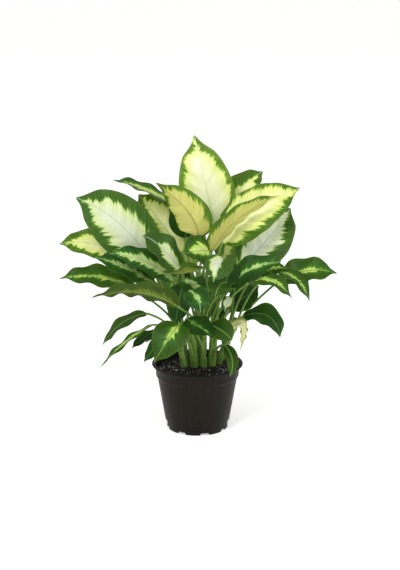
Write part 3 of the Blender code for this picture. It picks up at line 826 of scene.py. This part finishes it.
def both_sides(name, skin):
    """The waxed upper side and the duller underside of one kind of leaf."""
    upper, under = skin, Skin(*[blend_colours(colour, UNDERSIDE_TINT, UNDERSIDE_SHARE) for colour in skin])
    if SLOTS[name] == "leaf_underside":  # these leaves show their underside, and the colours are its own, except the olive colouring, which is darkened by painted shade
        upper, under = SKINS["lime"], skin
    return (leaf_skin("leaf_" + name + "_upper", upper, UPPER_ROUGHNESS),
            leaf_skin("leaf_" + name + "_underside", under, UNDER_ROUGHNESS))


# %% Stalk finish
STALK_STRIPES = (2.5, 9, 1)  # patches along a stalk and stripes round it


def petiole_skin():
    """Living stalk: green with faint stripes along it."""
    material, tree, shader = new_material(
        "living_stalk", 0.45, Specular_IOR_Level=0.3, Subsurface_Weight=0.1, Subsurface_Scale=0.002)
    veins = add_node(tree, "Attribute", attribute_name="veins").outputs["Vector"]
    drawn_out = add_node(tree, "VectorMath", {0: veins, 1: STALK_STRIPES}, operation="MULTIPLY")
    stripes = add_node(tree, "TexNoise", {"Vector": drawn_out, "Scale": 1, "Detail": 3})
    two_tone(tree, shader, stripes, (0.35, 0.68), ("#4c7427", "#87a84d"))
    return material


stalk = petiole_skin()
leaf_skins = {name: (*both_sides(name, skin), stalk) for name, skin in SKINS.items()}
print("leaf skins:", len(leaf_skins))

# %% Grow the leaves
for number, leaf in enumerate(LEAVES):
    make_leaf(leaf, number, leaf_skins[leaf.skin])
print("leaves grown:", len(LEAVES))

# %% [markdown]
# ## Canes
# A cane is a round stem with a scar ring wherever an old leaf came away, about 13 mm apart. It swells a
# little at each ring and ends in the rolled spear of the next leaf.

# %% Cane shape and skin
NODE_SPACING = 13
NODE_SWELL = 0.45  # how far a cane swells at a ring
CANE_BOTTOM = SOIL_CROWN - 8
CANE_COLUMNS, CANE_ROWS = 24, 90
NODE_WAIST = 0.2  # how far it is drawn in between the rings
SPEAR = 7  # length of the tapering tip
STREAK_LENGTH = 33.3  # of the streaks in the bark
STREAKS_ROUND = 7


def cane_skin():
    """Young cane bark: smooth and green, with pale brown scar rings and streaks."""
    material, tree, shader = new_material(
        "young_cane", 0.45, Specular_IOR_Level=0.3, Subsurface_Weight=0.08, Subsurface_Scale=0.002)
    veins = add_node(tree, "Attribute", attribute_name="veins").outputs["Vector"]
    height = add_node(tree, "SeparateXYZ", {0: veins}).outputs[0]
    stretch = (1 / (STREAK_LENGTH * MM), STREAKS_ROUND, 1)
    drawn_out = add_node(tree, "VectorMath", {0: veins, 1: stretch}, operation="MULTIPLY")
    streaks = add_node(tree, "TexNoise", {"Vector": drawn_out, "Scale": 1, "Detail": 4})
    ramp = two_tone(tree, shader, streaks, (0.35, 0.7), ("#4c6f2a", "#8fab55"))
    crest = waves(tree, height, NODE_SPACING)
    scar = add_node(
        tree, "MapRange", {"Value": crest, "From Min": 0.9, "From Max": 0.985, "To Min": 0, "To Max": 0.7})
    marked = add_node(tree, "Mix", {0: scar, 6: ramp, 7: linear("#8d8350")}, data_type="RGBA")
    tree.links.new(marked.outputs[2], shader.inputs["Base Color"])
    return material


def make_cane(cane, number, skin):
    """Bend a grid round the cane's axis."""
    top = cane.top[2]

    def place(u, v):
        height = CANE_BOTTOM + (top - CANE_BOTTOM) * v
        swell = NODE_SWELL * max(0, cos(2 * pi * height / NODE_SPACING)) ** 8
        radius = (CANE_RADIUS - NODE_WAIST + swell) * sqrt(max(0, min(1, (top - height) / SPEAR)))
        radius *= v > 0
        angle = 2 * pi * u
        return cane_centre(cane, height) + Vector((cos(angle), sin(angle), 0)) * radius

    bm = bmesh.new()
    veins = bm.verts.layers.float_vector.new("veins")
    for vertex, u, v in bend_grid(bm, CANE_COLUMNS, CANE_ROWS, place):
        vertex[veins] = (vertex.co.z * MM, u, number)
    return finish_piece("cane_" + cane.name + "_stem", bm, [skin], "cane_skin", "cane_" + cane.name)


bark = cane_skin()
for number, cane in enumerate(CANES):
    make_cane(cane, number, bark)
print("canes:", len(CANES))

# %% [markdown]
# ## The pot
# A grower's pot is moulded from thin black polypropylene. Its outline turned round the axis gives the
# wall, band, rolled lip and stepped foot in one go, and drain notches and holes are cut from it.

# %% Pot outline
POT_HEIGHT = 112
RIM_RADIUS = 76
LIP_RADIUS = 1.3  # of the lip's rolled edge
BAND_RADIUS = 70.5
BAND_FOOT = 90
WALL_TOP_RADIUS = 66.5
WALL_FOOT_RADIUS = 54
FOOT_RADIUS = 51
FOOT_HEIGHT = 13
FLOOR_HEIGHT = 6
WALL = 1.6
TURN_STEPS = 160  # sides of the turned pieces


def turn(bm, outline):
    """Spin an outline of (radius, height) points round Z."""
    points = [bm.verts.new((radius, 0, height)) for radius, height in outline]
    edges = [bm.edges.new(pair) for pair in zip(points, points[1:])]
    bmesh.ops.spin(
        bm, geom=points + edges, cent=(0, 0, 0), axis=(0, 0, 1),
        angle=2 * pi, steps=TURN_STEPS, use_merge=True,
    )
    bmesh.ops.remove_doubles(bm, verts=bm.verts, dist=MERGE_DISTANCE)
    bmesh.ops.recalc_face_normals(bm, faces=bm.faces)


def arc(centre, radius, start, end, steps):
    """Points of (radius, height) on an arc, from one angle in degrees to another."""
    angles = [radians(start + (end - start) * i / steps) for i in range(steps + 1)]
    return [(centre[0] + radius * cos(a), centre[1] + radius * sin(a)) for a in angles]


def pot_outline():
    """The pot's section, from the middle of the floor up the inside and down the outside."""
    floor_top = FLOOR_HEIGHT + WALL
    foot_inside = FOOT_RADIUS - WALL
    inside = [
        (0, floor_top), (foot_inside - 2, floor_top),
        (foot_inside - 0.6, floor_top + 2), (foot_inside - 0.6, FOOT_HEIGHT - 1),
        (WALL_FOOT_RADIUS - WALL, FOOT_HEIGHT + 3), (WALL_TOP_RADIUS - WALL, BAND_FOOT - 1),
        (BAND_RADIUS - 1.2 - WALL, BAND_FOOT + 2), (BAND_RADIUS - WALL, POT_HEIGHT - 3),
    ]
    rim = arc((BAND_RADIUS + 1, POT_HEIGHT - 1.5), 1.5, 170, 90, 4)
    rim += arc((RIM_RADIUS - LIP_RADIUS, POT_HEIGHT - LIP_RADIUS), LIP_RADIUS, 90, -60, 8)
    rim += [(RIM_RADIUS - 1.6, POT_HEIGHT - 3.0), (BAND_RADIUS + 0.8, POT_HEIGHT - 3.6)]
    band = [(BAND_RADIUS, POT_HEIGHT - 4.6)]
    band += arc((BAND_RADIUS - 2.6, BAND_FOOT + 2.2), 1.4, 0, -70, 4)
    wall = [
        (WALL_TOP_RADIUS + 0.4, BAND_FOOT - 0.8), (WALL_TOP_RADIUS, BAND_FOOT - 3),
        (WALL_FOOT_RADIUS, FOOT_HEIGHT + 2),
    ]
    foot = arc((FOOT_RADIUS + 1, FOOT_HEIGHT - 0.5), 1, 90, 180, 3)
    foot += [(FOOT_RADIUS, 1.2), (FOOT_RADIUS - 1, 0), (FOOT_RADIUS - 3.2, 0)]
    foot += [(FOOT_RADIUS - 3.4, FLOOR_HEIGHT), (0, FLOOR_HEIGHT)]
    return inside + rim + band + wall + foot


print("points in the pot's outline:", len(pot_outline()))

# %% Drain notches and holes
NOTCHES = 8
NOTCH_START = radians(14)  # how far the first notch is turned from the front
NOTCH_WIDTH = 15
NOTCH_FLARE = 3  # how much wider than that a notch is at its foot, and narrower at its top
NOTCH_HEIGHT = 4
NOTCH_REACH = 8  # of the cutter, along the radius
DRAIN_RADIUS = 5
DRAIN_CIRCLE = 34


def cut(piece, cutter_mesh):
    """Take the closed bodies of a bmesh in metres out of a piece, and apply it."""
    data = bpy.data.meshes.new("cutter")
    cutter_mesh.to_mesh(data)
    cutter_mesh.free()
    cutter = bpy.data.objects.new("cutter", data)
    bpy.context.scene.collection.objects.link(cutter)
    piece.modifiers.new("cut", "BOOLEAN").object = cutter
    evaluated = piece.evaluated_get(bpy.context.evaluated_depsgraph_get())
    piece.data = bpy.data.meshes.new_from_object(evaluated)
    piece.modifiers.clear()
    bpy.data.objects.remove(cutter)


def notch_box(bm, outward, side):
    """A box through the foot ring, wider at its foot, that reaches 1 mm below it."""
    for corner in bmesh.ops.create_cube(bm, size=1)["verts"]:
        along, across, height = corner.co
        width = NOTCH_WIDTH + (NOTCH_FLARE if height < 0 else -NOTCH_FLARE)
        spot = outward * (FOOT_RADIUS - 2 + NOTCH_REACH * along) + side * width * across
        corner.co = spot + Vector((0, 0, NOTCH_HEIGHT * (height + 0.5) - (0.5 - height)))


def drain_plug(bm, outward):
    """A round plug through the floor."""
    plug = bmesh.ops.create_cone(
        bm, cap_ends=True, segments=24, depth=4 * WALL, radius1=DRAIN_RADIUS, radius2=DRAIN_RADIUS)
    centre = outward * DRAIN_CIRCLE + Vector((0, 0, FLOOR_HEIGHT + WALL / 2))
    bmesh.ops.translate(bm, vec=centre, verts=plug["verts"])


def drain_cutters():
    """The boxes and plugs of the whole pot, in metres."""
    bm = bmesh.new()
    for step in range(NOTCHES):
        angle = 2 * pi * step / NOTCHES + NOTCH_START
        outward = Vector((sin(angle), -cos(angle), 0))
        notch_box(bm, outward, Vector((cos(angle), sin(angle), 0)))
        drain_plug(bm, outward)
    bmesh.ops.scale(bm, vec=(MM, MM, MM), verts=bm.verts)
    return bm


print("drain notches and holes:", NOTCHES, "of each")

# %% Pot plastic
POT_CREASE = radians(40)
SHEEN_STREAK_WIDTH, SHEEN_STREAK_HEIGHT = 11.1, 55.5  # of the painted streaks of brownish sheen that run up the wall
POT_GRAIN = 0.8  # size of the moulded grain
POT_GRAIN_DEPTH = 0.06


def pot_plastic():
    """Black polypropylene, moulded: warm black and satin, with a fine grain and with lighter, rougher brown
    streaks up the wall that are painted sheen.
    """
    material, tree, shader = new_material("moulded_polypropylene", 0.45, Specular_IOR_Level=0.13)
    place = add_node(tree, "TexCoord").outputs["Object"]
    round_scale, up_scale = 1 / (SHEEN_STREAK_WIDTH * MM), 1 / (SHEEN_STREAK_HEIGHT * MM)
    stretch = (round_scale, round_scale, up_scale)
    stretched = add_node(tree, "VectorMath", {0: place, 1: stretch}, operation="MULTIPLY")
    sheen_streaks = add_node(tree, "TexNoise", {"Vector": stretched, "Scale": 1, "Detail": 5, "Roughness": 0.65})
    # the lighter brown streaks are painted sheen
    two_tone(tree, shader, sheen_streaks, (0.35, 0.75), ("#0f0b06", "#1b140b"))
    satin = add_node(
        tree, "MapRange",
        {"Value": sheen_streaks, "From Min": 0.3, "From Max": 0.7, "To Min": 0.4, "To Max": 0.56})
    tree.links.new(satin.outputs[0], shader.inputs["Roughness"])
    grain = add_node(tree, "TexNoise", {"Vector": place, "Scale": 1 / (POT_GRAIN * MM), "Detail": 2})
    emboss(tree, shader, grain, POT_GRAIN_DEPTH, 0.6)
    return material


pot_mesh = bmesh.new()
turn(pot_mesh, pot_outline())
pot = finish_piece("grower_pot", pot_mesh, [pot_plastic()], "pot_plastic", "pot")
cut(pot, drain_cutters())
pot.data.set_sharp_from_angle(angle=POT_CREASE)
print("pot triangles:", sum(len(p.vertices) - 2 for p in pot.data.polygons))

# %% [markdown]
# ## Compost
# Potting compost is peat and bark with white grains of perlite. The root ball is a turned solid whose
# top is broken up by noise, and the loose crumbs, bark chips and perlite on it are small solids that
# are scattered by a seeded random draw.

# %% Root ball
SOIL_EDGE = 103  # height of the compost by the wall
CROWN_RADIUS = 66  # where the crown has run out
LUMPS = ((9, 1.6, 0), (3.2, 1.0, 5))  # size and height of coarse and fine lumps, and their seed
SETTLE = 0.8  # how far the lumpy surface is lowered, so that few lumps pass the crown
SOIL_RADIUS = BAND_RADIUS - WALL - 1
SOIL_STEPS = 44
GAP = 0.3
FIBRE_RELIEF = 0.6


def compost_skin(name, dark, light, grit):
    """Damp compost: rough and nearly black, with lighter fibres."""
    material, tree, shader = new_material(name, 0.9)
    place = add_node(tree, "TexCoord").outputs["Object"]
    grit_noise = {"Vector": place, "Scale": 1 / (grit * MM), "Detail": 4, "Roughness": 0.7}
    grains = add_node(tree, "TexNoise", grit_noise)
    two_tone(tree, shader, grains, (0.4, 0.75), (dark, light))
    emboss(tree, shader, grains, FIBRE_RELIEF, 1.0)
    return material


def soil_height(x, y):
    """The compost's surface: a low crown with lumps."""
    radius = sqrt(x * x + y * y)
    crown = SOIL_EDGE + (SOIL_CROWN - SOIL_EDGE) * (1 - smooth(0, CROWN_RADIUS, radius))
    lumps = sum(noise.noise(Vector((x, y, seed)) / size) * height for size, height, seed in LUMPS)
    return crown + lumps - SETTLE


soil_mesh = bmesh.new()
top = [(SOIL_RADIUS * i / SOIL_STEPS, SOIL_EDGE) for i in range(SOIL_STEPS + 1)]
side = [
    (BAND_RADIUS - WALL - 1.8, BAND_FOOT + 2), (WALL_TOP_RADIUS - WALL - 0.5, BAND_FOOT - 1),
    (WALL_FOOT_RADIUS - WALL - 0.5, FOOT_HEIGHT + 3), (FOOT_RADIUS - WALL - 1, FOOT_HEIGHT - 1),
    (FOOT_RADIUS - WALL - 1, FLOOR_HEIGHT + WALL + GAP), (0, FLOOR_HEIGHT + WALL + GAP),
]
turn(soil_mesh, top + side)
for vertex in soil_mesh.verts:
    if vertex.co.z > SOIL_EDGE - 1:
        vertex.co.z = soil_height(vertex.co.x, vertex.co.y)
peat = compost_skin("peat_compost", "#0d0c09", "#241f18", 2.2)
finish_piece("root_ball", soil_mesh, [peat], "compost", "soil")
print("compost at the middle is", round(soil_height(0, 0), 1), "mm up")

# %% Crumbs, bark and perlite
ANGULAR = (0.75, 1.2)  # how far each corner of a grain is pulled in or out
TILT = 0.4  # how far a grain's axis of turning may lean
GRAIN_LIFT = 0.3


def add_grain(bm, draw, size, stretch):
    """One small angular solid at the origin."""
    grain = bmesh.ops.create_icosphere(bm, subdivisions=1, radius=draw.uniform(*size))["verts"]
    for vertex in grain:
        vertex.co *= draw.uniform(*ANGULAR)
        vertex.co.x *= stretch
        vertex.co.z /= stretch
    spin = Quaternion((draw.uniform(-TILT, TILT), draw.uniform(-TILT, TILT), 1), draw.uniform(0, 2 * pi))
    bmesh.ops.transform(bm, matrix=spin.normalized().to_matrix().to_4x4(), verts=grain)
    return grain


def scatter(name, count, size, stretch, skin, seed, spread):
    """Many small angular solids on the compost, joined as one piece."""
    draw = random.Random(seed)
    bm = bmesh.new()
    for _ in range(count):
        radius = SOIL_RADIUS * sqrt(draw.random()) * spread - size[1]
        angle = draw.uniform(0, 2 * pi)
        x, y = radius * cos(angle), radius * sin(angle)
        grain = add_grain(bm, draw, size, stretch)
        bmesh.ops.translate(bm, vec=(x, y, soil_height(x, y) + GRAIN_LIFT), verts=grain)
    finish_piece(name, bm, [skin], "compost", "soil")
    print(name + ":", count)


crumb = compost_skin("peat_crumb", "#12100c", "#2d2418", 1.2)
chip = compost_skin("pine_bark", "#2b1d12", "#5b4127", 1.5)
white_grain = compost_skin("expanded_perlite", "#b4bcc0", "#f2f5f6", 0.8)
scatter("compost_crumbs", 900, (0.8, 2.2), 1.1, crumb, seed=3, spread=1)
scatter("bark_chips", 90, (1.2, 2.8), 1.9, chip, seed=5, spread=1)
scatter("perlite", 260, (0.4, 1.3), 1.0, white_grain, seed=7, spread=0.95)
